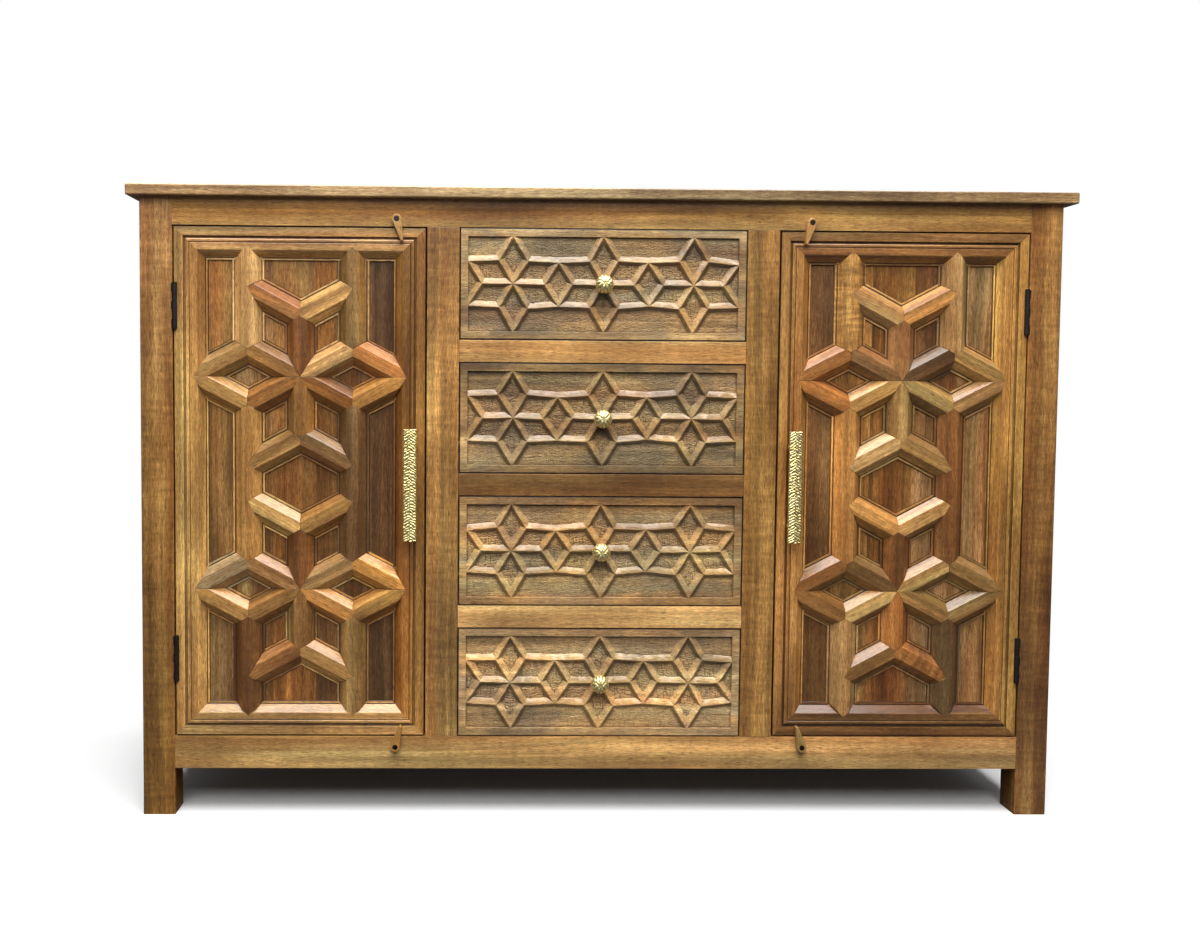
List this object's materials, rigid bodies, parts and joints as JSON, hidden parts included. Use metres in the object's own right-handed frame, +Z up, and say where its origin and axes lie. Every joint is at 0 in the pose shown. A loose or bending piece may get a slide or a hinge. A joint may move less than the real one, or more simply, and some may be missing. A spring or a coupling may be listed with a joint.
{
  "type": "moroccan carved cabinet",
  "caption": "Wooden sideboard with star-lattice doors either side of a bank of carved drawers, on square legs, with turn buttons that hold the doors.",
  "frame": {"origin": "on the floor, under the middle of the overall box", "axes": "+X to the viewer's right along the front, +Y from the front to the back, +Z up"},
  "size_m": [1.524, 0.447, 1.02],
  "materials": {
    "top_wood": "satin, planked mango wood",
    "post_wood": "satin mango wood",
    "rail_wood": "satin mango wood",
    "door_frame_wood": "satin mango wood",
    "lattice_wood": "satin mango wood, bar by bar lighter or darker",
    "board_wood": "satin mango wood, plank by plank lighter or darker",
    "drawer_wood": "carved mango wood, satin",
    "button_wood": "satin mango wood",
    "case_wood": "plain planed wood",
    "black_iron": "black",
    "pale_brass": "pale, hammered",
    "screw_steel": "plain"
  },
  "bodies": {
    "root": {"top_board": "top_wood", "rail_front_bottom": "rail_wood", "rail_front_top": "rail_wood", "side_rails": "post_wood", "back_rails": "case_wood", "back_panel": "case_wood", "bottom_board": "case_wood", "drawer_runners": "case_wood", "shelf_cleats": "case_wood", "hinge_frame_leaves": "black_iron", "hinge_pins": "black_iron", "button_screws": "black_iron", "leg_front_left": "post_wood", "leg_back_left": "post_wood", "stile_left": "rail_wood", "side_panel_left": "post_wood", "partition_left": "case_wood", "shelf_left": "case_wood", "leg_front_right": "post_wood", "leg_back_right": "post_wood", "stile_right": "rail_wood", "side_panel_right": "post_wood", "partition_right": "case_wood", "shelf_right": "case_wood", "drawer_rail_1": "rail_wood", "drawer_rail_2": "rail_wood", "drawer_rail_3": "rail_wood"},
    "button_upper_left": {"turn_button_upper_left": "button_wood"},
    "button_lower_left": {"turn_button_lower_left": "button_wood"},
    "door_left": {"door_left_frame": "door_frame_wood", "door_left_lattice": "lattice_wood", "door_left_boards": "board_wood", "door_left_hinge_leaves": "black_iron", "door_left_handle": "pale_brass", "door_left_handle_screws": "screw_steel"},
    "button_upper_right": {"turn_button_upper_right": "button_wood"},
    "button_lower_right": {"turn_button_lower_right": "button_wood"},
    "door_right": {"door_right_frame": "door_frame_wood", "door_right_lattice": "lattice_wood", "door_right_boards": "board_wood", "door_right_hinge_leaves": "black_iron", "door_right_handle": "pale_brass", "door_right_handle_screws": "screw_steel"},
    "drawer_1": {"drawer_1_front": "drawer_wood", "drawer_1_box": "case_wood", "drawer_1_bottom": "case_wood", "drawer_1_knob": "pale_brass"},
    "drawer_2": {"drawer_2_front": "drawer_wood", "drawer_2_box": "case_wood", "drawer_2_bottom": "case_wood", "drawer_2_knob": "pale_brass"},
    "drawer_3": {"drawer_3_front": "drawer_wood", "drawer_3_box": "case_wood", "drawer_3_bottom": "case_wood", "drawer_3_knob": "pale_brass"},
    "drawer_4": {"drawer_4_front": "drawer_wood", "drawer_4_box": "case_wood", "drawer_4_bottom": "case_wood", "drawer_4_knob": "pale_brass"}
  },
  "joints": [
    {"name": "drawer_1_slide", "type": "slide", "parent": "root", "child": "drawer_1", "axis": [0, -1, 0], "range_m": [0, 0.3]},
    {"name": "drawer_2_slide", "type": "slide", "parent": "root", "child": "drawer_2", "axis": [0, -1, 0], "range_m": [0, 0.3]},
    {"name": "drawer_3_slide", "type": "slide", "parent": "root", "child": "drawer_3", "axis": [0, -1, 0], "range_m": [0, 0.3]},
    {"name": "drawer_4_slide", "type": "slide", "parent": "root", "child": "drawer_4", "axis": [0, -1, 0], "range_m": [0, 0.3]},
    {"name": "door_left_hinge", "type": "hinge", "parent": "root", "child": "door_left", "pos_m": [-0.687, -0.1985, 0.5435], "axis": [0, 0, -1], "range_deg": [0, 175]},
    {"name": "door_right_hinge", "type": "hinge", "parent": "root", "child": "door_right", "pos_m": [0.687, -0.1985, 0.5435], "axis": [0, 0, 1], "range_deg": [0, 175]},
    {"name": "button_upper_left_turn", "type": "hinge", "parent": "root", "child": "button_upper_left", "pos_m": [-0.3325, -0.1965, 0.968], "axis": [0, 1, 0], "range_deg": [-131, 159]},
    {"name": "button_lower_left_turn", "type": "hinge", "parent": "root", "child": "button_lower_left", "pos_m": [-0.3325, -0.1965, 0.115], "axis": [0, 1, 0], "continuous": true},
    {"name": "button_upper_right_turn", "type": "hinge", "parent": "root", "child": "button_upper_right", "pos_m": [0.3325, -0.1965, 0.968], "axis": [0, 1, 0], "range_deg": [-159, 131]},
    {"name": "button_lower_right_turn", "type": "hinge", "parent": "root", "child": "button_lower_right", "pos_m": [0.3325, -0.1965, 0.115], "axis": [0, 1, 0], "continuous": true}
  ]
}
